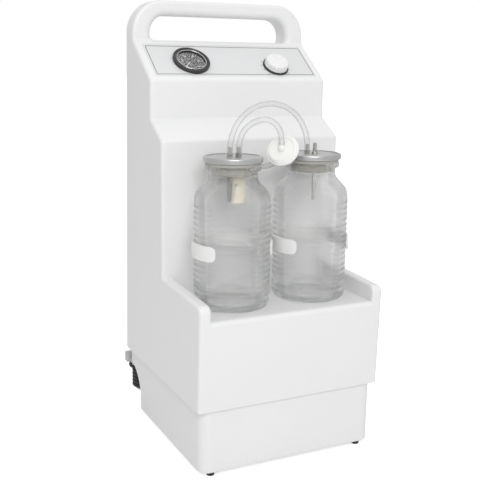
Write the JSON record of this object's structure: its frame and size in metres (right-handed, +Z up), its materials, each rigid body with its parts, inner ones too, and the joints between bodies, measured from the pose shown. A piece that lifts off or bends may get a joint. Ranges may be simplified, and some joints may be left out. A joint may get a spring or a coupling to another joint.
{
  "type": "vacuum aspirator",
  "caption": "Upright electric suction unit: white casing with carrying handle, sloped panel with vacuum gauge and regulator knob, glass collecting jars on a front shelf, filter and hoses.",
  "frame": {"origin": "middle of the bounding box at the height of the feet's undersides", "axes": "+Z up, +Y towards the rear, so the jars face -Y, +X to the right seen from the front"},
  "size_m": [0.345, 0.3936, 0.778],
  "materials": {
    "cabinet_white": "satin",
    "clip_white": "satin",
    "cleat_grey": "satin",
    "panel_grey": "satin",
    "black_rubber": "matte",
    "stopper_rubber": "matte",
    "dark_plastic": "satin",
    "dial_white": "matte",
    "gauge_black": "satin",
    "steel": "satin",
    "bright_metal": "polished",
    "brass": "satin",
    "aluminium": "satin",
    "cast": "matte",
    "clear_glass": "clear",
    "clear_tube": "clear",
    "cream_plastic": "satin",
    "filter_white": "satin"
  },
  "bodies": {
    "cabinet": {"casing": "cabinet_white", "base_tray": "cabinet_white", "feet": "black_rubber", "screws": "steel", "panel_plate": "panel_grey", "gauge_case": "gauge_black", "gauge_dial": "dial_white", "gauge_glass": "clear_glass", "gauge_bezel": "gauge_black", "regulator_body": "brass", "knob_ring": "dark_plastic", "jar_clip_left": "clip_white", "jar_clip_right": "clip_white", "port_hose": "clear_tube", "filter_front": "filter_white", "filter_back": "filter_white", "suction_port": "bright_metal", "port_nut": "brass", "port_tee": "brass", "pump_tube": "clear_tube", "regulator_tube": "clear_tube", "gauge_tube": "clear_tube", "switch_frame": "dark_plastic", "fuse_holder": "dark_plastic", "pump_plate": "steel", "rubber_mounts": "black_rubber", "pump_motor": "cast", "crankcases": "aluminium", "cylinders": "aluminium", "cylinder_heads": "aluminium", "head_bolts": "steel", "exhaust_muffler": "brass", "capacitor": "aluminium", "capacitor_strap": "steel", "cord_cleat_left": "cleat_grey", "cord_cleat_right": "cleat_grey", "lead_gland": "black_rubber", "mains_lead": "black_rubber", "mains_lead_hank": "black_rubber", "mains_lead_tail": "black_rubber", "mains_plug": "black_rubber", "plug_pins": "bright_metal"},
    "regulator": {"regulator_knob": "cabinet_white", "regulator_spindle": "brass"},
    "needle": {"gauge_needle": "gauge_black"},
    "rocker": {"power_rocker": "dark_plastic"},
    "rotor": {"pump_shaft": "steel", "fans": "dark_plastic"},
    "left_jar": {"jar_left": "clear_glass"},
    "right_jar": {"jar_right": "clear_glass"},
    "lid_set": {"lid_left": "aluminium", "lid_right": "aluminium", "stoppers": "stopper_rubber", "lid_barbs": "bright_metal", "dip_tube": "clear_tube", "inlet_pipe": "bright_metal", "float_cage": "cream_plastic", "transfer_hose": "clear_tube", "filter_hose": "clear_tube"},
    "overflow_float": {"float": "filter_white"}
  },
  "joints": [
    {"name": "regulator_turn", "type": "hinge", "parent": "cabinet", "child": "regulator", "pos_m": [0.084, 0.05583, 0.6639], "axis": [0, -0.6086, 0.7935], "range_deg": [0, 270]},
    {"name": "needle_sweep", "type": "hinge", "parent": "cabinet", "child": "needle", "pos_m": [-0.081, 0.06575, 0.67151], "axis": [0, 0.6086, -0.7935], "range_deg": [0, 270], "stiffness_Nm_per_rad": 0.0001},
    {"name": "power_switch", "type": "hinge", "parent": "cabinet", "child": "rocker", "pos_m": [0.095, 0.15909, 0.64], "axis": [1, 0, 0], "range_deg": [0, 14]},
    {"name": "pump_spin", "type": "hinge", "parent": "cabinet", "child": "rotor", "pos_m": [0, -0.04068, 0.0905], "axis": [1, 0, 0], "continuous": true},
    {"name": "jar_lift", "type": "slide", "parent": "cabinet", "child": "left_jar", "axis": [0, 0, 1], "range_m": [0, 0.035]},
    {"name": "right_jar_lift", "type": "slide", "parent": "cabinet", "child": "right_jar", "axis": [0, 0, 1], "range_m": [0, 0.035]},
    {"name": "lid_lift", "type": "slide", "parent": "left_jar", "child": "lid_set", "axis": [0, 0, 1], "range_m": [0, 0.09]},
    {"name": "float_rise", "type": "slide", "parent": "lid_set", "child": "overflow_float", "axis": [0, 0, 1], "range_m": [0, 0.01]}
  ],
  "couplings": [
    {"joint": "right_jar_lift", "follows": "jar_lift", "ratio": 1}
  ]
}
